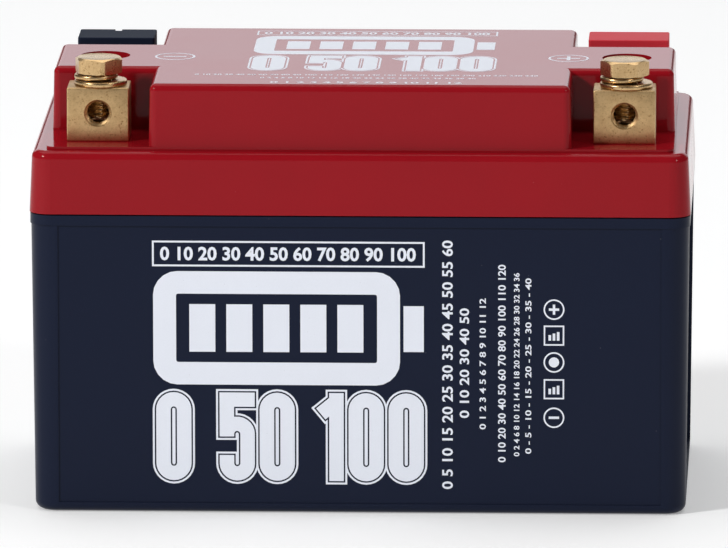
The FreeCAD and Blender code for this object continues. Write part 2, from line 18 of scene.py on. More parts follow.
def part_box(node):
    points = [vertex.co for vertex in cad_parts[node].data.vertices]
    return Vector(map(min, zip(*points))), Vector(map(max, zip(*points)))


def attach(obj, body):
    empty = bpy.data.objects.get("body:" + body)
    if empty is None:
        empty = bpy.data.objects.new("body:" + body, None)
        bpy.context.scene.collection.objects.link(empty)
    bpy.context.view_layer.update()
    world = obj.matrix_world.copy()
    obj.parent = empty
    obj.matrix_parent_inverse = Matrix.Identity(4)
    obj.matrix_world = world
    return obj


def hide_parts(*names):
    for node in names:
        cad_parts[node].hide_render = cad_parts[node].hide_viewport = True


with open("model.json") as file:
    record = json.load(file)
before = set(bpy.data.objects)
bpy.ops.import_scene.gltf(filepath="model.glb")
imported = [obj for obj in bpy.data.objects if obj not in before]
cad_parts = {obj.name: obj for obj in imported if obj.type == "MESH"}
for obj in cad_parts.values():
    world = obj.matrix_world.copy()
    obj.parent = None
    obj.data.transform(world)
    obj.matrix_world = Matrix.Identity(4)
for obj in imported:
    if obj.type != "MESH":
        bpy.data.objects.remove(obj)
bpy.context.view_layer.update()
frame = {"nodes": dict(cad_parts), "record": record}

MM = 0.001
WELD = 1e-7
HOUSING = "housing"
Colour = tuple[float, float, float]
Point = tuple[float, float]
log = logging.getLogger("battery")


class Side(Enum):
    """The two ends of the battery's length."""

    LEFT = "left"
    RIGHT = "right"


class End(Enum):
    """The two long sides of the battery."""

    FRONT = "front"
    REAR = "rear"


# ---- shader graph --------------------------------------------------------------------------------
class Value:
    """One shader socket. Sums, differences and products with it add Math nodes."""

    def __init__(self, graph: "Graph", socket: bpy.types.NodeSocket) -> None:
        """Keep the socket and the graph that it belongs to."""
        self.graph = graph
        self.socket = socket

    def _maths(self, operation: str, first: Any, second: Any) -> "Value":
        """Return the result of one Math node."""
        return self.graph.add("ShaderNodeMath", {"operation": operation}, {0: first, 1: second})

    def __add__(self, other: Any) -> "Value":
        """Return self + other."""
        return self._maths("ADD", self, other)

    __radd__ = __add__

    def __sub__(self, other: Any) -> "Value":
        """Return self - other."""
        return self._maths("SUBTRACT", self, other)

    def __rsub__(self, other: Any) -> "Value":
        """Return other - self."""
        return self._maths("SUBTRACT", other, self)

    def __mul__(self, other: Any) -> "Value":
        """Return self * other."""
        return self._maths("MULTIPLY", self, other)

    __rmul__ = __mul__

    def above(self, edge: float, softness: float) -> "Value":
        """Return a mask that rises from 0 to 1 around an edge.

        Args:
            edge: The value at which the mask is one half.
            softness: The width of the rise.

        Returns:
            The mask.
        """
        low, high = edge - softness / 2, edge + softness / 2
        ends = {0: self, 1: low, 2: high, 3: 0.0, 4: 1.0}
        return self.graph.add("ShaderNodeMapRange", {"clamp": True}, ends)


class Graph:
    """The node tree of one material or world, and the one method that adds nodes to it."""

    def __init__(self, tree: bpy.types.NodeTree) -> None:
        """Empty the tree and keep it."""
        self.tree = tree
        self.tree.nodes.clear()

    def add(self, kind: str, settings: Mapping[str, Any], sockets: Mapping[Any, Any],
            output: Any = 0) -> Value:
        """Add one node.

        Args:
            kind: The node's type name.
            settings: Attributes set first, since some of them change the sockets.
            sockets: Values or links of input sockets, by name or number.
            output: The output to return, by name or number.

        Returns:
            The chosen output as a Value.
        """
        node = self.tree.nodes.new(kind)
        for key, value in settings.items():
            setattr(node, key, value)
        for key, value in sockets.items():
            if isinstance(value, Value):
                self.tree.links.new(value.socket, node.inputs[key])
            else:
                node.inputs[key].default_value = value
        if not node.outputs:
            return Value(self, node.inputs[0])
        return Value(self, node.outputs[output])

    def place(self) -> Value:
        """Return the place of the shaded point in the piece's own metres."""
        return self.add("ShaderNodeTexCoord", {}, {}, "Object")

    def noise(self, size: float, detail: float = 2.0, roughness: float = 0.5,
              stretch: Sequence[float] = (1, 1, 1)) -> Value:
        """Return smooth noise from 0 to 1.

        Args:
            size: The size of its features in metres.
            detail: Octaves of finer noise.
            roughness: How strong those octaves are.
            stretch: How much each axis is compressed.

        Returns:
            The noise.
        """
        where = self.add("ShaderNodeMapping", {}, {"Vector": self.place(), "Scale": tuple(stretch)})
        sockets = {"Vector": where, "Scale": 1.0 / size, "Detail": detail, "Roughness": roughness}
        return self.add("ShaderNodeTexNoise", {}, sockets, "Fac")

    def specks(self, spacing: float, radius: float) -> Value:
        """Return a mask of round dots scattered on a cell pattern.

        Args:
            spacing: The mean distance between dots in metres.
            radius: The dots' radius as a share of the spacing.

        Returns:
            The mask, 1 in a dot.
        """
        sockets = {"Vector": self.place(), "Scale": 1.0 / spacing}
        distance = self.add("ShaderNodeTexVoronoi", {}, sockets, "Distance")
        return 1.0 - distance.above(radius, radius * 0.6)

    def blend(self, factor: Any, first: Any, second: Any) -> Value:
        """Return a colour between two colours."""
        return self.add("ShaderNodeMix", {"data_type": "RGBA"}, {0: factor, 6: first, 7: second}, 2)

    def bump(self, height: Value, depth: float) -> Value:
        """Return a normal bent by a height pattern of a given depth in metres."""
        return self.add("ShaderNodeBump", {}, {"Height": height, "Distance": depth, "Strength": 1.0})

    def surface(self, sockets: Mapping[str, Any]) -> None:
        """Close the material with one Principled shader."""
        shader = self.add("ShaderNodeBsdfPrincipled", {}, sockets)
        self.add("ShaderNodeOutputMaterial", {}, {"Surface": shader})


def opaque(colour: Colour, gain: float = 1.0) -> tuple[float, float, float, float]:
    """Return a colour with full alpha, brightened by a gain."""
    return tuple(min(1.0, channel * gain) for channel in colour) + (1.0,)


# ---- finishes ------------------------------------------------------------------------------------
@dataclass(frozen=True)
class Finish:
    """A named surface finish with a base colour."""

    name: str
    colour: Colour

    def build(self) -> bpy.types.Material:
        """Return the finished material."""
        material = bpy.data.materials.new(self.name)
        material.use_nodes = True
        self.wire(Graph(material.node_tree))
        return material

    def wire(self, graph: Graph) -> None:
        """Add the finish's nodes. Each kind of finish has its own."""
        raise NotImplementedError


@dataclass(frozen=True)
class MouldedPlastic(Finish):
    """Injection-moulded plastic with a fine spark-eroded grain and a few dust specks."""

    roughness: float = 0.5
    specular: float = 0.3
    grain: float = 0.00022
    grain_depth: float = 0.000012
    peel_depth: float = 0.0
    dust: float = 0.10
    coat: float = 0.0

    def wire(self, graph: Graph) -> None:
        """Add grain, tone, dust and handling marks."""
        grain = graph.noise(self.grain, 3.0, 0.6)
        cloud = graph.noise(0.018, 3.0)
        dust = graph.specks(0.0042, 0.028) * graph.noise(0.009).above(0.55, 0.1)
        tone = graph.blend(grain * 0.45 + cloud * 0.25, opaque(self.colour, 0.82), opaque(self.colour, 1.28))
        dusty = graph.blend(dust * self.dust, tone, (0.62, 0.60, 0.60, 1.0))
        peel = graph.noise(0.0016, 1.0)
        height = grain * self.grain_depth + peel * self.peel_depth
        graph.surface({
            "Base Color": dusty,
            "Roughness": cloud * 0.10 + grain * 0.08 + (self.roughness - 0.09),
            "Specular IOR Level": self.specular,
            "Coat Weight": self.coat,
            "Coat Roughness": 0.08,
            "Normal": graph.bump(height * 1000.0, MM),
        })


@dataclass(frozen=True)
class CastBrass(Finish):
    """Brass with a satin sawn face, tiny pits and darker tarnish."""

    roughness: float = 0.36
    pit_depth: float = 0.000018
    tarnish: float = 0.35

    def wire(self, graph: Graph) -> None:
        """Add grain, pits, draw lines and tarnish."""
        grain = graph.noise(0.00038, 4.0, 0.7)
        lines = graph.noise(0.0005, 2.0, 0.5, (0.15, 0.15, 3.0))
        stain = graph.noise(0.0022, 4.0, 0.6)
        pits = graph.specks(0.0008, 0.22) * graph.noise(0.0018).above(0.44, 0.10)
        dark = opaque(tuple(channel * tint for channel, tint in zip(self.colour, (0.62, 0.55, 0.45))))
        tone = graph.blend(stain.above(0.56, 0.3) * self.tarnish, opaque(self.colour), dark)
        pitted = graph.blend(pits * 0.8 + (1.0 - grain).above(0.56, 0.10) * 0.45, tone, dark)
        height = grain * 0.6 + lines * 0.5 - pits * 1.2
        graph.surface({
            "Base Color": pitted,
            "Metallic": 1.0,
            "Roughness": grain * 0.16 + stain * 0.12 + (self.roughness - 0.12),
            "Normal": graph.bump(height, self.pit_depth),
        })


@dataclass(frozen=True)
class TurnedMetal(Finish):
    """Rolled or turned metal with fine parallel lines."""

    roughness: float = 0.28
    line: float = 0.00018

    def wire(self, graph: Graph) -> None:
        """Add lines and a faint stain."""
        lines = graph.noise(self.line, 2.0, 0.5, (0.1, 1.0, 1.0))
        stain = graph.noise(0.004, 4.0, 0.6)
        tone = graph.blend(stain * 0.6, opaque(self.colour), opaque(self.colour, 0.72))
        graph.surface({
            "Base Color": tone,
            "Metallic": 1.0,
            "Roughness": lines * 0.12 + stain * 0.1 + (self.roughness - 0.1),
            "Normal": graph.bump(lines, 0.000006),
        })


@dataclass(frozen=True)
class Ink(Finish):
    """Screen-printed ink with pinholes and a slightly uneven film."""

    roughness: float = 0.5

    def wire(self, graph: Graph) -> None:
        """Add film tone and pinholes."""
        film = graph.noise(0.00035, 3.0, 0.6)
        cloud = graph.noise(0.012, 2.0)
        tone = graph.blend(film * 0.5 + cloud * 0.3, opaque(self.colour, 0.93), opaque(self.colour, 1.05))
        pinholes = graph.specks(0.0009, 0.07) * graph.noise(0.002).above(0.6, 0.06)
        graph.surface({
            "Base Color": graph.blend(pinholes * 0.5, tone, opaque(self.colour, 0.35)),
            "Roughness": film * 0.12 + (self.roughness - 0.06),
            "Specular IOR Level": 0.3,
            "Normal": graph.bump(film, 0.000006),
        })


@dataclass(frozen=True)
class Foam(Finish):
    """Closed-cell foam or soft rubber with open pores on its skin."""

    pore: float = 0.0006
    roughness: float = 0.85

    def wire(self, graph: Graph) -> None:
        """Add pores and a mottled tone."""
        pores = graph.specks(self.pore, 0.36)
        mottle = graph.noise(0.003, 3.0)
        tone = graph.blend(mottle * 0.6, opaque(self.colour, 0.8), opaque(self.colour, 1.3))
        graph.surface({
            "Base Color": graph.blend(pores * 0.5, tone, opaque(self.colour, 0.4)),
            "Roughness": mottle * 0.1 + (self.roughness - 0.05),
            "Normal": graph.bump(1.0 - pores, 0.00006),
        })


@dataclass(frozen=True)
class ShrinkFilm(Finish):
    """Thin glossy film shrunk over a can, with faint wrinkles."""

    roughness: float = 0.25

    def wire(self, graph: Graph) -> None:
        """Add wrinkles and a tone that follows them."""
        wrinkle = graph.noise(0.006, 3.0, 0.5, (0.4, 1.0, 2.2))
        tone = graph.blend(wrinkle, opaque(self.colour, 0.8), opaque(self.colour, 1.2))
        graph.surface({
            "Base Color": tone,
            "Roughness": wrinkle * 0.15 + (self.roughness - 0.07),
            "Normal": graph.bump(wrinkle, 0.00015),
        })


@dataclass(frozen=True)
class Laminate(Finish):
    """Solder mask over glass laminate, with raised copper tracks and tinned pads."""

    track: float = 0.0019
    roughness: float = 0.35

    def wire(self, graph: Graph) -> None:
        """Add tracks as bands of two directions and pads as dots."""
        across, along = (graph.add("ShaderNodeTexWave", {"bands_direction": axis},
                                   {"Vector": graph.place(), "Scale": 0.3 / self.track}) for axis in "XY")
        patch = graph.noise(0.012).above(0.5, 0.02)
        tracks = across.above(0.55, 0.1) * patch + along.above(0.55, 0.1) * (1.0 - patch)
        pads = graph.specks(0.0046, 0.15)
        tone = graph.blend(tracks * 0.6, opaque(self.colour, 0.75), opaque(self.colour, 1.6))
        graph.surface({
            "Base Color": graph.blend(pads, tone, (0.62, 0.60, 0.55, 1.0)),
            "Metallic": pads * 0.9,
            "Roughness": graph.noise(0.002) * 0.1 + (self.roughness - 0.05),
            "Normal": graph.bump(tracks + pads, 0.00004),
        })


@dataclass(frozen=True)
class PaperSweep(Finish):
    """The pale studio floor, lit a little from below like a light table."""

    roughness: float = 0.75
    glow: float = 0.25

    def wire(self, graph: Graph) -> None:
        """Add a very faint paper tone."""
        fibre = graph.noise(0.002, 3.0)
        tone = graph.blend(fibre, opaque(self.colour, 0.99), opaque(self.colour, 1.01))
        graph.surface({
            "Base Color": tone,
            "Roughness": self.roughness,
            "Specular IOR Level": 0.1,
            "Emission Color": tone,
            "Emission Strength": self.glow,
        })


class Stock:
    """Every finish on the battery, by its material slot."""

    def __init__(self) -> None:
        """Build each finish once."""
        finishes = {
            "navy_plastic": MouldedPlastic("navy_plastic", (0.0066, 0.0108, 0.0290), 0.34, 0.12, 0.0003,
                                           0.000014),
            "red_plastic": MouldedPlastic("red_plastic", (0.298, 0.0062, 0.0120), 0.10, 0.13, 0.00025,
                                          0.0000025, 0.000006),
            "bright_red_plastic": MouldedPlastic("bright_red_plastic", (0.62, 0.034, 0.050), 0.50, 0.12,
                                                 0.0003, 0.000008),
            "black_plastic": MouldedPlastic("black_plastic", (0.0095, 0.0145, 0.0320), 0.62, 0.08, 0.0003,
                                            0.000012),
            "brass": CastBrass("brass", (0.66, 0.45, 0.225), 0.40),
            "bright_brass": CastBrass("bright_brass", (0.62, 0.42, 0.21), 0.27, 0.00001, 0.25),
            "zinc_steel": TurnedMetal("zinc_steel", (0.62, 0.62, 0.63), 0.3),
            "copper": TurnedMetal("copper", (0.78, 0.36, 0.20)),
            "black_rubber": Foam("black_rubber", (0.02, 0.02, 0.022), 0.0005, 0.7),
            "foam": Foam("foam", (0.07, 0.07, 0.08), 0.0008, 0.9),
            "cell_can": ShrinkFilm("cell_can", (0.02, 0.10, 0.34)),
            "cell_pole": TurnedMetal("cell_pole", (0.80, 0.80, 0.81), 0.3),
            "sheet": Foam("sheet", (0.66, 0.62, 0.48), 0.0012, 0.6),
            "wire_sleeve": MouldedPlastic("wire_sleeve", (0.45, 0.03, 0.03), 0.45, 0.4, 0.0004, 0.000008),
            "circuit_board": Laminate("circuit_board", (0.01, 0.13, 0.05)),
            "chip_plastic": MouldedPlastic("chip_plastic", (0.02, 0.02, 0.023), 0.5, 0.4, 0.0003, 0.00001),
            "white_plastic": MouldedPlastic("white_plastic", (0.75, 0.72, 0.64), 0.45, 0.4, 0.0004, 0.000008,
                                            dust=0.0),
            "white_ink": Ink("white_ink", (0.82, 0.85, 0.93)),
            "floor": PaperSweep("floor", (0.885, 0.885, 0.885)),
        }
        self.materials = {slot: finish.build() for slot, finish in finishes.items()}

    def __getitem__(self, slot: str) -> bpy.types.Material:
        """Return the material of one slot."""
        return self.materials[slot]


# ---- mesh work -----------------------------------------------------------------------------------
def into_object(name: str, shape: bmesh.types.BMesh, sharp: float = 35.0) -> bpy.types.Object:
    """Turn a bmesh into a scene object with smooth faces and sharp creases.

    Args:
        name: The object's name.
        shape: The bmesh, which is freed.
        sharp: Edges bent by more than this many degrees stay sharp.

    Returns:
        The new object.
    """
    bmesh.ops.remove_doubles(shape, verts=shape.verts, dist=WELD)
    bmesh.ops.recalc_face_normals(shape, faces=shape.faces)
    mesh = bpy.data.meshes.new(name)
    shape.to_mesh(mesh)
    shape.free()
    for face in mesh.polygons:
        face.use_smooth = True
    mesh.set_sharp_from_angle(angle=math.radians(sharp))
    made = bpy.data.objects.new(name, mesh)
    bpy.context.scene.collection.objects.link(made)
    return made


def dress(made: bpy.types.Object, body: str, material: bpy.types.Material,
          nodes: Iterable[str] = ()) -> None:
    """Give a new piece its material and body, and hide the CAD nodes that it stands for.

    Args:
        made: The piece.
        body: The moving body that it rides on.
        material: Its finish.
        nodes: CAD nodes that it replaces.
    """
    made.data.materials.clear()
    made.data.materials.append(material)
    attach(made, body)
    for node in nodes:
        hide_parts(node)
    log.info("%s: %d faces on %s", made.name, len(made.data.polygons), body)


def ring_surface(shape: bmesh.types.BMesh, rings: Sequence[Sequence[Vector]], closed: bool) -> None:
    """Join rings of equal count into a surface.

    Args:
        shape: The bmesh to add to.
        rings: The rings in order.
        closed: True joins the last ring to the first; False caps both ends.
    """
    rows = [[shape.verts.new(point) for point in ring] for ring in rings]
    count = len(rows[0])
    pairs = list(zip(rows, rows[1:])) + ([(rows[-1], rows[0])] if closed else [])
    for lower, upper in pairs:
        for index in range(count):
            after = (index + 1) % count
            shape.faces.new((lower[index], lower[after], upper[after], upper[index]))
    if not closed:
        shape.faces.new(list(reversed(rows[0])))
        shape.faces.new(rows[-1])


def turned(profile: Sequence[Point], centre: Vector, sides: int = 96) -> list[list[Vector]]:
    """Return the rings of a profile of (radius, height) points turned about a vertical axis."""
    angles = [math.tau * index / sides for index in range(sides)]
    return [[centre + Vector((radius * math.cos(a), radius * math.sin(a), height)) for a in angles]
            for radius, height in profile]


def combine(target: bpy.types.Object, tools: Sequence[bpy.types.Object], operation: str) -> None:
    """Join some closed tools to a closed piece, or cut them out of it, and remove them.

    Args:
        target: The piece.
        tools: The tools, used in order.
        operation: "UNION" or "DIFFERENCE".
    """
    for tool in tools:
        step = target.modifiers.new("step", "BOOLEAN")
        step.operation = operation
        step.solver = "EXACT"
        step.object = tool
    graph = bpy.context.evaluated_depsgraph_get()
    result = bpy.data.meshes.new_from_object(target.evaluated_get(graph))
    target.modifiers.clear()
    target.data = result
    for tool in tools:
        bpy.data.objects.remove(tool)
    for face in result.polygons:
        face.use_smooth = True
    result.set_sharp_from_angle(angle=math.radians(32.0))


@dataclass(frozen=True)
class Thread:
    """A coarse metric screw thread."""

    major: float = 3.0 * MM
    depth: float = 0.5 * MM
    pitch: float = 1.0 * MM
    steps: int = 8
    sides: int = 48

    def radius(self, turn: float, height: float) -> float:
        """Return the radius at an angle in turns and a height in metres."""
        phase = (height / self.pitch - turn) % 1.0
        rise = 1.0 - abs(2.0 * phase - 1.0)
        return self.major - self.depth * min(1.0, max(0.0, 1.25 * rise - 0.125))

    def rings(self, start: float, stop: float, taper: float = 0.0) -> list[list[Vector]]:
        """Return rings of a threaded rod about Z.

        Args:
            start: The lower height.
            stop: The upper height.
            taper: The length over which the lower end narrows.

        Returns:
            Rings from bottom to top.
        """
        count = max(2, round((stop - start) / self.pitch * self.steps))
        rows = []
        for row in range(count + 1):
            height = start + (stop - start) * row / count
            limit = self.major - max(0.0, taper - (height - start))
            ring = []
            for side in range(self.sides):
                turn = side / self.sides
                angle = math.tau * turn
                radius = min(limit, self.radius(turn, height))
                ring.append(Vector((radius * math.cos(angle), radius * math.sin(angle), height)))
            rows.append(ring)
        return rows


# ---- terminals -----------------------------------------------------------------------------------
@dataclass
class TerminalBlock:
    """One brass block with a screw hole from the top and one from front to back."""

    side: Side
    end: End
    height: float = 12.3 * MM
    edge: float = 0.32 * MM
    leg: float = 3.5 * MM
    sink: float = 0.62 * MM
    top_depth: float = 10.0 * MM
    hole_height: float = 6.45 * MM

    @property
    def node(self) -> str:
        """Return the name of the CAD node that the block stands for."""
        return f"terminal_{self.end.value}_{self.side.value}"

    def _blank(self) -> bpy.types.Object:
        """Return the bevelled block with its leg, before drilling."""
        low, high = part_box(self.node)
        foot = high.z - self.height
        shape = bmesh.new()
        bmesh.ops.create_cube(shape, size=1.0)
        size = Vector((high.x - low.x, high.y - low.y, self.height))
        centre = Vector(((low.x + high.x) / 2, (low.y + high.y) / 2, foot + self.height / 2))
        form = Matrix.Translation(centre) @ Matrix.Diagonal((*size, 1.0))
        bmesh.ops.transform(shape, matrix=form, verts=shape.verts)
        bmesh.ops.bevel(shape, geom=shape.edges[:], offset=self.edge, segments=3, profile=0.5, affect="EDGES")
        block = into_object(f"block_{self.end.value}_{self.side.value}", shape)
        rod = bmesh.new()
        middle = Vector((centre.x, centre.y, 0.0))
        profile = [(self.leg, low.z), (self.leg, foot + self.edge)]
        ring_surface(rod, turned(profile, middle, 40), False)
        combine(block, [into_object("leg", rod)], "UNION")
        return block

    def _drill(self, origin: Vector, direction: Vector, depth: float, both: bool) -> bpy.types.Object:
        """Return a threaded cutter with a countersink at its mouth, and at its far end too if asked."""
        thread = Thread()
        rings = thread.rings(-depth, 0.0)
        mouth = thread.major + 0.14 * MM
        sunk = []
        for ring in rings:
            height = ring[0].z
            near = mouth + height if height > -self.sink else 0.0
            far = mouth - (height + depth) if both and height < -depth + self.sink else 0.0
            least = max(near, far)
            sunk.append([Vector((p.x, p.y, 0.0)).normalized() * max(least, Vector((p.x, p.y)).length)
                         + Vector((0.0, 0.0, p.z)) for p in ring])
        cap = 0.5 * MM
        sunk.append([p + Vector((0.0, 0.0, cap)) for p in sunk[-1]])
        if both:
            sunk.insert(0, [p - Vector((0.0, 0.0, cap)) for p in sunk[0]])
        shape = bmesh.new()
        turn = direction.to_track_quat("Z", "Y").to_matrix().to_4x4()
        place = Matrix.Translation(origin) @ turn
        ring_surface(shape, [[place @ p for p in ring] for ring in sunk], False)
        return into_object("drill", shape)

    def build(self, stock: Stock) -> None:
        """Drill the block and put it in place."""
        block = self._blank()
        low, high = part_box(self.node)
        x, y = (low.x + high.x) / 2, (low.y + high.y) / 2
        top = self._drill(Vector((x, y, high.z)), Vector((0, 0, 1)), self.top_depth, False)
        level = high.z - self.height + self.hole_height
        through = self._drill(Vector((x, low.y, level)), Vector((0, -1, 0)), high.y - low.y, True)
        combine(block, [top, through], "DIFFERENCE")
        dress(block, HOUSING, stock["brass"], [self.node])


@dataclass
class HexScrew:
    """A hexagon-headed screw whose six flats meet a round chamfer."""

    side: Side
    turn: float
    seat_gap: float = 0.05 * MM
    flats: float = 10.0 * MM
    crown: float = 4.72 * MM
    corner: float = 0.22 * MM
    slope: float = 30.0

    def _head_radius(self, angle: float) -> float:
        """Return the distance to the six-sided outline, softened at its corners."""
        sixth = math.tau / 6
        offset = (angle - math.radians(self.turn)) % sixth - sixth / 2
        sharp = self.flats / 2 / math.cos(offset)
        widest = self.flats / math.sqrt(3) - self.corner
        return min(sharp, widest)

    def _head_rings(self, centre: Vector, tall: float, sides: int = 144) -> list[list[Vector]]:
        """Return the rings of a head of a given height from its underside to its top."""
        slope = math.tan(math.radians(self.slope))
        angles = [math.tau * index / sides for index in range(sides)]

        def ring(radius_of: Callable[[float], float], height_of: Callable[[float], float]) -> list[Vector]:
            """Return one ring from a radius and a height for each angle."""
            return [centre + Vector((radius_of(a) * math.cos(a), radius_of(a) * math.sin(a), height_of(a)))
                    for a in angles]

        def chamfer(angle: float) -> float:
            """Return the height at which a flat meets the round chamfer."""
            return tall - max(0.0, self._head_radius(angle) - self.crown) * slope

        def under(angle: float) -> float:
            """Return the height of the small chamfer under the head."""
            return max(0.0, self._head_radius(angle) - self.flats / 2 - 0.25 * MM) * slope

        inner = self.crown
        return [
            ring(lambda a: self.flats / 2 - 0.15 * MM, lambda a: 0.0),
            ring(lambda a: min(self._head_radius(a), self.flats / 2 + 0.2 * MM), lambda a: 0.0),
            ring(self._head_radius, under),
            ring(self._head_radius, chamfer),
            ring(lambda a: inner, lambda a: tall),
            ring(lambda a: inner - 0.12 * MM, lambda a: tall),
            ring(lambda a: inner - 0.30 * MM, lambda a: tall - 0.05 * MM),
            ring(lambda a: inner * 0.35, lambda a: tall - 0.05 * MM),
        ]

    def build(self, stock: Stock) -> None:
        """Make the head and the threaded shank as one closed piece."""
        node = f"screw_{self.side.value}"
        low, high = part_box(node)
        block_low, block_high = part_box(f"terminal_front_{self.side.value}")
        middle = (block_low + block_high) / 2
        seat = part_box(f"spring_washer_{self.side.value}")[1].z + self.seat_gap
        axis = Vector((middle.x, middle.y, 0.0))
        thread = Thread(2.94 * MM, 0.46 * MM, sides=144)
        shank = [[axis + p for p in ring] for ring in thread.rings(low.z, seat - 0.6 * MM, 0.5 * MM)]
        neck = turned([(2.6 * MM, seat - 0.45 * MM), (2.9 * MM, seat)], axis, 144)
        head = self._head_rings(Vector((middle.x, middle.y, seat)), high.z - seat)
        shape = bmesh.new()
        ring_surface(shape, shank + neck + head, False)
        screw = into_object(f"hex_screw_{self.side.value}", shape, 24.0)
        dress(screw, node, stock["bright_brass"], [node])


@dataclass
class WasherPair:
    """The flat washer on a block and the split spring washer over it."""

    side: Side
    flat_bore: float = 3.4 * MM
    spring_bore: float = 3.65 * MM
    soft: float = 0.22 * MM
    gap_turn: float = 62.0
    gap: float = 9.0
    spring_lift: float = 0.36 * MM

    def _flat(self, stock: Stock) -> None:
        """Turn the flat washer with a stamped, rolled rim."""
        node = f"flat_washer_{self.side.value}"
        low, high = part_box(node)
        centre = Vector(((low.x + high.x) / 2, (low.y + high.y) / 2, 0.0))
        outer = (high.x - low.x) / 2
        soft = self.soft
        bore = self.flat_bore
        profile = [(bore + soft / 2, low.z), (outer - soft, low.z), (outer - soft / 3, low.z + soft / 3),
                   (outer, low.z + soft), (outer, high.z - soft * 1.4), (outer - soft / 3, high.z - soft / 2),
                   (outer - soft * 1.2, high.z), (bore + soft, high.z), (bore, high.z - soft),
                   (bore, low.z + soft / 2)]
        shape = bmesh.new()
        ring_surface(shape, turned(profile, centre), True)
        washer = into_object(f"plain_washer_{self.side.value}", shape, 50.0)
        dress(washer, f"washers_{self.side.value}", stock["bright_brass"], [node])

    def _spring(self, stock: Stock) -> None:
        """Wind the spring washer: a square section swept round with a slant gap."""
        node = f"spring_washer_{self.side.value}"
        low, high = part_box(node)
        outer = (high.x - low.x) / 2
        centre = Vector(((low.x + high.x) / 2, (low.y + high.y) / 2, 0.0))
        soft = self.soft
        floor, roof = low.z + 0.02 * MM, high.z - self.spring_lift
        bore = self.spring_bore
        profile = [(bore + soft, floor), (outer - soft * 1.6, floor),
                   (outer - soft * 0.5, floor + soft * 0.6), (outer, floor + soft * 1.8),
                   (outer, roof - soft * 1.8), (outer - soft * 0.5, roof - soft * 0.6),
                   (outer - soft * 1.6, roof), (bore + soft, roof), (bore, roof - soft), (bore, floor + soft)]
        steps = 120
        sweep = 360.0 - self.gap
        rows = []
        for step in range(steps + 1):
            share = step / steps
            angle = math.radians(self.gap_turn + self.gap / 2 + sweep * share)
            lift = self.spring_lift * share
            rows.append([centre + Vector((radius * math.cos(angle), radius * math.sin(angle), height + lift))
                         for radius, height in profile])
        shape = bmesh.new()
        ring_surface(shape, rows, False)
        washer = into_object(f"split_washer_{self.side.value}", shape, 50.0)
        dress(washer, f"washers_{self.side.value}", stock["bright_brass"], [node])

    def build(self, stock: Stock) -> None:
        """Make both washers."""
        self._flat(stock)
        self._spring(stock)


# ---- printed marks -------------------------------------------------------------------------------
class Role(Enum):
    """What an outline does in the artwork: ink, a bare line round the ink, or an ink line outside that."""

    INK = 0
    BARE = 1
    HALO = 2


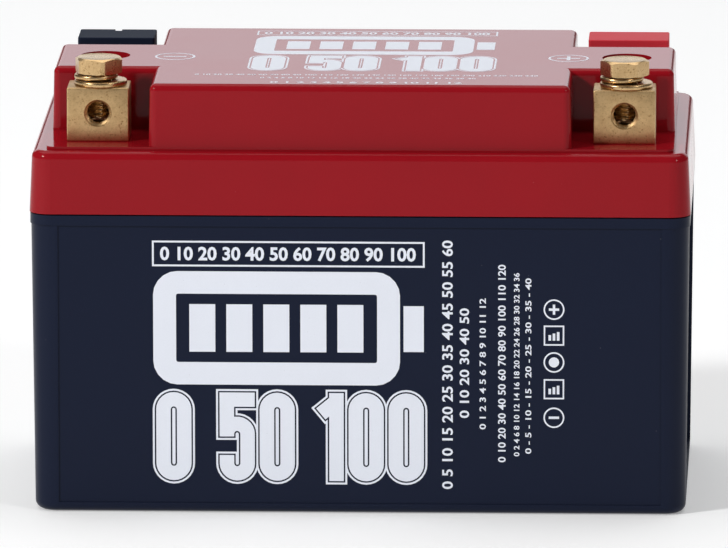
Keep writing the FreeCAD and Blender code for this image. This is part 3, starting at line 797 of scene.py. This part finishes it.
class Field:
    """A flat stretch of the housing that takes ink, with its own millimetre axes."""

    PROUD = 0.030 * MM
    SUNK = 0.004 * MM
    BARE_LINE = 0.34
    HALO_LINE = 0.78
    MITRE_LIMIT = 0.35
    MERGE = 1e-4

    def __init__(self, origin: Vector, right: Vector, up: Vector) -> None:
        """Keep the field's frame.

        Args:
            origin: The zero point on the surface.
            right: The direction in which lettering runs.
            up: The direction of the letters' tops.
        """
        self.origin = origin
        self.right = right.normalized()
        self.up = up.normalized()
        self.normal = self.right.cross(self.up).normalized()
        self.outlines: list[tuple[Role, Sequence[Point]]] = []

    def at(self, x: float, y: float) -> Vector:
        """Return the place of the ink's face at a point given in millimetres."""
        return self.origin + self.right * (x * MM) + self.up * (y * MM) + self.normal * self.PROUD

    def polygon(self, points: Sequence[Point], role: Role = Role.INK) -> None:
        """Add one filled bulging outline, cut into triangles."""
        for second, third in zip(points[1:], points[2:]):
            self.outlines.append((role, (points[0], second, third)))

    def bar(self, left: float, right: float, bottom: float, top: float) -> None:
        """Add one upright rectangle of ink."""
        self.polygon([(left, bottom), (right, bottom), (right, top), (left, top)])

    def stroke(self, path: Sequence[Point], width: float, closed: bool = False, grow: float = 0.0,
               role: Role = Role.INK) -> None:
        """Add a line of even width with mitred corners.

        Args:
            path: The centre line.
            width: The line's width.
            closed: True for a loop.
            grow: Extra width on each side and length at each end.
            role: What the line does.
        """
        points = [Vector(point) for point in path]
        half = width / 2 + grow
        count = len(points)
        left, right = [], []
        for index, point in enumerate(points):
            onward = points[(index + 1) % count]
            behind = (point - points[index - 1]).normalized() if closed or index else None
            ahead = (onward - point).normalized() if closed or index < count - 1 else None
            if ahead is None:
                point = point + behind * grow
            elif behind is None:
                point = point - ahead * grow
            ahead, behind = ahead or behind, behind or ahead
            middle = (ahead + behind).normalized()
            side = Vector((-middle.y, middle.x))
            reach = half / max(self.MITRE_LIMIT, side.dot(Vector((-ahead.y, ahead.x))))
            left.append(point + side * reach)
            right.append(point - side * reach)
        for index in range(count if closed else count - 1):
            after = (index + 1) % count
            self.polygon([tuple(c) for c in (left[index], right[index], right[after], left[after])], role)

    def outlined(self, path: Sequence[Point], width: float, closed: bool = False) -> None:
        """Add a stroke with a bare line and then a fine ink line round it."""
        self.stroke(path, width, closed)
        self.stroke(path, width, closed, self.BARE_LINE, Role.BARE)
        self.stroke(path, width, closed, self.HALO_LINE, Role.HALO)

    def lettering(self, text: str, left: float, right: float, bottom: float, top: float, upright: bool = True,
                  weight: float = 0.02) -> None:
        """Add a line of small figures squeezed into a box.

        Args:
            text: The figures.
            left: The box's left edge.
            right: Its right edge.
            bottom: Its bottom edge.
            top: Its top edge.
            upright: False turns the line to read upwards.
            weight: How much the strokes are fattened.
        """
        curve = bpy.data.curves.new("figures", "FONT")
        curve.body = text
        curve.offset = weight
        curve.resolution_u = 3
        holder = bpy.data.objects.new("figures", curve)
        bpy.context.scene.collection.objects.link(holder)
        graph = bpy.context.evaluated_depsgraph_get()
        mesh = bpy.data.meshes.new_from_object(holder.evaluated_get(graph))
        low = [min(vertex.co[axis] for vertex in mesh.vertices) for axis in range(2)]
        high = [max(vertex.co[axis] for vertex in mesh.vertices) for axis in range(2)]
        places = []
        for vertex in mesh.vertices:
            along, rise = ((vertex.co[axis] - low[axis]) / (high[axis] - low[axis]) for axis in range(2))
            if upright:
                places.append((left + (right - left) * along, bottom + (top - bottom) * rise))
            else:
                places.append((right - (right - left) * rise, bottom + (top - bottom) * along))
        for face in mesh.polygons:
            self.polygon([places[index] for index in face.vertices])
        bpy.data.objects.remove(holder)
        bpy.data.curves.remove(curve)

    def _cover(self, role: Role) -> Callable[[Vector], bool]:
        """Return a test that is true for points inside any outline of a role."""
        corners = [(x, y, 0.0) for kind, points in self.outlines if kind is role for x, y in points]
        tree = BVHTree.FromPolygons(corners, [(n, n + 1, n + 2) for n in range(0, len(corners), 3)])
        return lambda spot: tree.ray_cast(Vector((spot.x, spot.y, 1.0)), Vector((0, 0, -1)))[0] is not None

    def finish(self, name: str, stock: Stock) -> None:
        """Merge the outlines into one thin closed film of ink.

        Args:
            name: The film's name.
            stock: The finishes.
        """
        corners = [Vector(point) for _, points in self.outlines for point in points]
        edges = [(n + k, n + (k + 1) % 3) for n in range(0, len(corners), 3) for k in range(3)]
        flat, _, triangles, *_ = delaunay_2d_cdt(corners, edges, [], 0, self.MERGE)
        inked, bare, halo = (self._cover(role) for role in Role)
        shape = bmesh.new()
        spots = [shape.verts.new(self.at(point.x, point.y)) for point in flat]
        for triangle in triangles:
            middle = sum((flat[index] for index in triangle), Vector((0.0, 0.0))) / 3
            if inked(middle) or (halo(middle) and not bare(middle)):
                shape.faces.new([spots[index] for index in triangle])
        bmesh.ops.delete(shape, geom=[spot for spot in shape.verts if not spot.link_faces], context="VERTS")
        grown = bmesh.ops.extrude_face_region(shape, geom=shape.faces[:])
        sunk = [item for item in grown["geom"] if isinstance(item, bmesh.types.BMVert)]
        bmesh.ops.translate(shape, verts=sunk, vec=self.normal * -(self.PROUD + self.SUNK))
        film = into_object(name, shape, 20.0)
        dress(film, HOUSING, stock["white_ink"])


def arc(centre: Point, radius: float, start: float, stop: float, steps: int = 10) -> list[Point]:
    """Return points on an arc.

    Args:
        centre: The arc's centre.
        radius: Its radius.
        start: The first angle in degrees.
        stop: The last angle in degrees.
        steps: How many pieces it has.

    Returns:
        The points in order.
    """
    turns = [math.radians(start + (stop - start) * step / steps) for step in range(steps + 1)]
    return [(centre[0] + radius * math.cos(a), centre[1] + radius * math.sin(a)) for a in turns]


def scale(stop: int, step: int, mark: str = " ") -> str:
    """Return the figures of a plain scale from 0 up to a last value."""
    return mark.join(str(value) for value in range(0, stop + step, step))


@dataclass(frozen=True)
class Figures:
    """Narrow, heavy figures drawn with one stroke width."""

    height: float = 20.4
    width: float = 8.0
    stroke: float = 3.3
    slim: float = 5.6

    def paths(self, figure: str, left: float, bottom: float) -> list[tuple[list[Point], bool]]:
        """Return the centre lines of one figure.

        Args:
            figure: 0, 1 or 5.
            left: The figure's left edge.
            bottom: Its foot.

        Returns:
            Paths to be stroked, each with True if it is a loop.
        """
        half = self.stroke / 2
        low, high = bottom + half, bottom + self.height - half
        if figure == "1":
            stem = left + self.slim - half
            return [([(stem, bottom), (stem, bottom + self.height)], False),
                    ([(left + 0.4, high - 3.2), (stem - 0.4, high - 0.6)], False)]
        near, far = left + half, left + self.width - half
        middle, radius = (near + far) / 2, (far - near) / 2
        if figure == "0":
            loop = (arc((middle, high - radius), radius, 0, 180, 14)
                    + arc((middle, low + radius), radius, 180, 360, 14))
            return [(loop, True)]
        waist = bottom + 0.5 * self.height
        bowl = (arc((middle, waist + 0.6), radius, 165, 0, 12)
                + arc((middle, low + radius), radius, 0, -180, 14) + [(near, low + radius + 1.9)])
        return [([(far + half, high), (near - half, high)], False), ([(near, high), (near, waist)], False),
                (bowl, False)]


@dataclass(frozen=True)
class Artwork:
    """The plain marks: a boxed scale, a battery sign with charge bars, and a big outlined scale."""

    width: float = 61.6
    figures: Figures = Figures()

    def draw(self, field: Field, left: float, bottom: float, scale_x: float, scale_y: float) -> None:
        """Draw all the marks in a box.

        Args:
            field: The field to ink.
            left: The box's left edge.
            bottom: Its bottom edge.
            scale_x: The width relative to the drawing's own.
            scale_y: The height relative to the drawing's own.
        """
        def place(point: Point) -> Point:
            """Return a point of the drawing on the field."""
            return left + point[0] * scale_x, bottom + point[1] * scale_y

        def block(x0: float, x1: float, y0: float, y1: float) -> None:
            """Ink one rectangle of the drawing."""
            low, high = place((x0, y0)), place((x1, y1))
            field.bar(low[0], high[0], low[1], high[1])

        self._big_scale(field, place)
        self._sign(field, place, block, scale_x)
        self._title(field, place)

    def _big_scale(self, field: Field, place: Callable[[Point], Point]) -> None:
        """Ink 0, 50 and 100 in outlined figures."""
        for number, start in (("0", 0.8), ("50", 15.2), ("100", 37.8)):
            left = start
            for figure in number:
                for path, closed in self.figures.paths(figure, left, 0.8):
                    field.outlined([place(point) for point in path], self.figures.stroke, closed)
                left += (self.figures.slim if figure == "1" else self.figures.width) + 1.1

    def _sign(self, field: Field, place: Callable[[Point], Point], block: Callable[..., None],
              size: float) -> None:
        """Ink the battery sign: a heavy rounded frame, a nub and charge bars."""
        low, high, corner = 25.6, 46.6, 3.0
        near, far = 2.8, 53.6
        loop = (arc((far - corner, high - corner), corner, 0, 90, 5)
                + arc((near + corner, high - corner), corner, 90, 180, 5)
                + arc((near + corner, low + corner), corner, 180, 270, 5)
                + arc((far - corner, low + corner), corner, 270, 360, 5))
        field.stroke([place(point) for point in loop], 5.2 * size, True)
        block(far + 3.4, self.width, 30.8, 41.4)
        for index in range(5):
            start = 8.4 + index * 8.4
            block(start, start + 5.9, 30.6, 41.6)

    def _title(self, field: Field, place: Callable[[Point], Point]) -> None:
        """Ink a box with a plain scale in it."""
        low, high = 50.5, 56.0
        border = [place(point) for point in ((0.2, low), (self.width, low), (self.width, high), (0.2, high))]
        field.stroke(border, 0.42, True)
        left, bottom = place((1.8, low + 1.1))
        right, top = place((self.width - 1.8, high - 1.1))
        field.lettering(scale(100, 10), left, right, bottom, top, weight=0.03)


@dataclass
class Marks:
    """All the ink on the front of the case and on top of the lid."""

    artwork: Artwork = Artwork()

    def _front_field(self) -> Field:
        """Return the field on the front wall of the case, found on the wall itself."""
        case = BVHTree.FromObject(frame["nodes"]["case"], bpy.context.evaluated_depsgraph_get())
        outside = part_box("case")[0].y - 50 * MM

        def wall(z: float) -> Vector:
            """Return the point of the front wall at a height."""
            return case.ray_cast(Vector((0.0, outside, z)), Vector((0, 1, 0)))[0]

        foot, head = wall(8 * MM), wall(60 * MM)
        up = (head - foot).normalized()
        return Field(foot - up * (foot.z / up.z), Vector((1, 0, 0)), up)

    def _front(self, stock: Stock) -> None:
        """Ink the front wall."""
        field = self._front_field()
        self.artwork.draw(field, -47.0, 6.6, 1.0, 1.0)
        columns = ((scale(60, 5), 18.7, 21.2, 5.7, 63.2), (scale(50, 10), 22.7, 24.9, 22.2, 47.6),
                   (scale(12, 1), 27.2, 28.7, 19.6, 49.9), (scale(120, 10), 31.4, 33.2, 12.0, 57.7),
                   (scale(36, 2), 35.0, 36.3, 13.4, 55.8), (scale(40, 5, " - "), 37.6, 39.0, 14.0, 54.6))
        for text, left, right, bottom, top in columns:
            field.lettering(text, left, right, bottom, top, False)
        for index, level in enumerate((22.4, 29.0, 35.2, 41.4, 47.4)):
            self._badge(field, (44.1, level), 2.35, index)
        field.finish("case_mark", stock)

    @staticmethod
    def _badge(field: Field, centre: Point, radius: float, index: int) -> None:
        """Ink a small plain sign: a ring or a square with a plus, a minus, bars or a dot."""
        x, y = centre
        side = radius - 0.2
        if index % 2 == 0:
            field.stroke(arc(centre, radius - 0.15, 0, 360, 32)[:-1], 0.34, True)
        else:
            field.stroke([(x - side, y - side), (x + side, y - side), (x + side, y + side),
                          (x - side, y + side)], 0.34, True)
        arm, thick = radius * 0.5, 0.28
        if index in (0, 4):
            field.bar(x - arm, x + arm, y - thick, y + thick)
        if index == 4:
            field.bar(x - thick, x + thick, y - arm, y + arm)
        if index == 2:
            field.polygon(arc(centre, arm, 0, 360, 24)[:-1])
        if index in (1, 3):
            for step in (-1, 0, 1):
                field.bar(x - 0.3 + step * 0.95, x + 0.3 + step * 0.95, y - arm, y + arm * (0.4 + 0.3 * step))

    @staticmethod
    def _polarity(field: Field, centre: Point, plus: bool) -> None:
        """Ink a ring with a minus or a plus in it."""
        x, y = centre
        field.stroke(arc(centre, 4.4, 0, 360, 48)[:-1], 0.5, True)
        field.bar(x - 2.6, x + 2.6, y - 0.4, y + 0.4)
        if plus:
            field.bar(x - 0.4, x + 0.4, y - 2.6, y + 2.6)

    def _top(self, stock: Stock) -> None:
        """Ink the top of the lid."""
        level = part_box("lid")[1].z
        field = Field(Vector((0.0, 0.0, level)), Vector((1, 0, 0)), Vector((0, 1, 0)))
        self.artwork.draw(field, -26.3, -20.4, 0.90, 0.98)
        lines = ((scale(240, 10), -38.0, 40.0, -26.4, -24.8), (scale(40, 2), -23.0, 26.0, -30.5, -28.9),
                 (scale(12, 1), -20.5, 23.0, -36.6, -34.6))
        for text, left, right, bottom, top in lines:
            field.lettering(text, left, right, bottom, top)
        self._polarity(field, (-43.7, -1.5), False)
        self._polarity(field, (46.4, -1.4), True)
        field.finish("lid_mark", stock)

    def build(self, stock: Stock) -> None:
        """Ink both fields."""
        self._front(stock)
        self._top(stock)


# ---- carried-over pieces -------------------------------------------------------------------------
class CarriedPieces:
    """The CAD pieces whose shape is kept, each given its own finish."""

    def __init__(self, record: Mapping[str, Any]) -> None:
        """Keep the record's slot of each node."""
        self.slots = {part["node"]: part["material_slot"] for part in record["subparts"]}

    def build(self, stock: Stock) -> None:
        """Dress every CAD node in the finish of its slot."""
        for name, node in frame["nodes"].items():
            for holder in node.material_slots:
                holder.material = stock[self.slots[name]]
            log.info("%s: %s", name, self.slots[name])


# ---- studio --------------------------------------------------------------------------------------
@dataclass(frozen=True)
class SoftBox:
    """One rectangular studio lamp."""

    name: str
    place: Colour
    size: Point
    power: float
    aim: Colour = (0.0, 0.0, 0.06)
    tint: Colour = (1.0, 1.0, 1.0)

    def build(self) -> None:
        """Hang the lamp and aim it."""
        lamp = bpy.data.lights.new(self.name, "AREA")
        lamp.shape = "RECTANGLE"
        lamp.size, lamp.size_y = self.size
        lamp.energy = self.power
        lamp.color = self.tint
        holder = bpy.data.objects.new(self.name, lamp)
        holder.location = self.place
        holder.rotation_euler = (Vector(self.aim) - Vector(self.place)).to_track_quat("-Z", "Y").to_euler()
        holder.visible_camera = False
        bpy.context.scene.collection.objects.link(holder)


@dataclass(frozen=True)
class Studio:
    """Floor, sky, lamps and the camera with its long lens."""

    target: Colour = (-0.548 * MM, 0.0, 47.42 * MM)
    distance: float = 3.0956
    yaw: float = 0.037431
    tilt: float = -0.183312
    roll: float = 0.001035
    lens: float = 666.5
    sensor: float = 36.0
    floor_size: float = 6.0
    sky: float = 0.07

    def _camera(self) -> None:
        """Place the camera on its orbit round the target."""
        turn = (Matrix.Rotation(self.yaw, 4, "Z") @ Matrix.Rotation(self.tilt, 4, "X")
                @ Matrix.Rotation(self.roll, 4, "Y"))
        view = bpy.data.cameras.new("camera")
        view.lens = self.lens
        view.sensor_width = self.sensor
        view.clip_end = 100.0
        holder = bpy.data.objects.new("camera", view)
        place = Vector(self.target) - turn.to_3x3() @ Vector((0.0, self.distance, 0.0))
        holder.matrix_world = Matrix.Translation(place) @ turn @ Matrix.Rotation(math.pi / 2, 4, "X")
        bpy.context.scene.collection.objects.link(holder)
        bpy.context.scene.camera = holder

    def _floor(self, stock: Stock) -> None:
        """Lay a pale floor just under the base."""
        shape = bmesh.new()
        bmesh.ops.create_grid(shape, x_segments=2, y_segments=2, size=self.floor_size)
        bmesh.ops.translate(shape, verts=shape.verts, vec=(0.0, 0.0, -0.0001))
        floor = into_object("floor", shape)
        floor.data.materials.append(stock["floor"])

    def _sky(self) -> None:
        """Light the room evenly from everywhere."""
        world = bpy.data.worlds.new("studio")
        world.use_nodes = True
        graph = Graph(world.node_tree)
        glow = graph.add("ShaderNodeBackground", {}, {"Color": (1.0, 1.0, 1.0, 1.0), "Strength": self.sky})
        graph.add("ShaderNodeOutputWorld", {}, {"Surface": glow})
        bpy.context.scene.world = world

    def build(self, stock: Stock) -> None:
        """Set up the whole studio."""
        self._sky()
        self._floor(stock)
        self._camera()
        for box in (SoftBox("left_box", (-1.7, -1.25, 1.25), (0.30, 0.30), 37.0),
                    SoftBox("right_box", (1.55, -1.35, 1.15), (0.24, 0.24), 9.0),
                    SoftBox("back_panel", (0.2, 2.6, 0.85), (3.6, 1.1), 14.5, (0.0, 0.0, 0.1),
                            (0.90, 0.95, 1.0)),
                    SoftBox("top_panel", (0.0, 0.5, 1.9), (2.4, 1.6), 22.0)):
            box.build()
        scene = bpy.context.scene
        scene.view_settings.view_transform = "Standard"
        scene.view_settings.look = "None"


def main() -> None:
    """Build every part of the scene in order."""
    logging.basicConfig(level=logging.INFO, format="%(name)s %(message)s")
    stock = Stock()
    CarriedPieces(frame["record"]).build(stock)
    for side in Side:
        for end in End:
            TerminalBlock(side, end).build(stock)
        WasherPair(side).build(stock)
    HexScrew(Side.LEFT, -17.6).build(stock)
    HexScrew(Side.RIGHT, -3.0).build(stock)
    Marks().build(stock)
    Studio().build(stock)


if __name__ == "__main__":
    main()
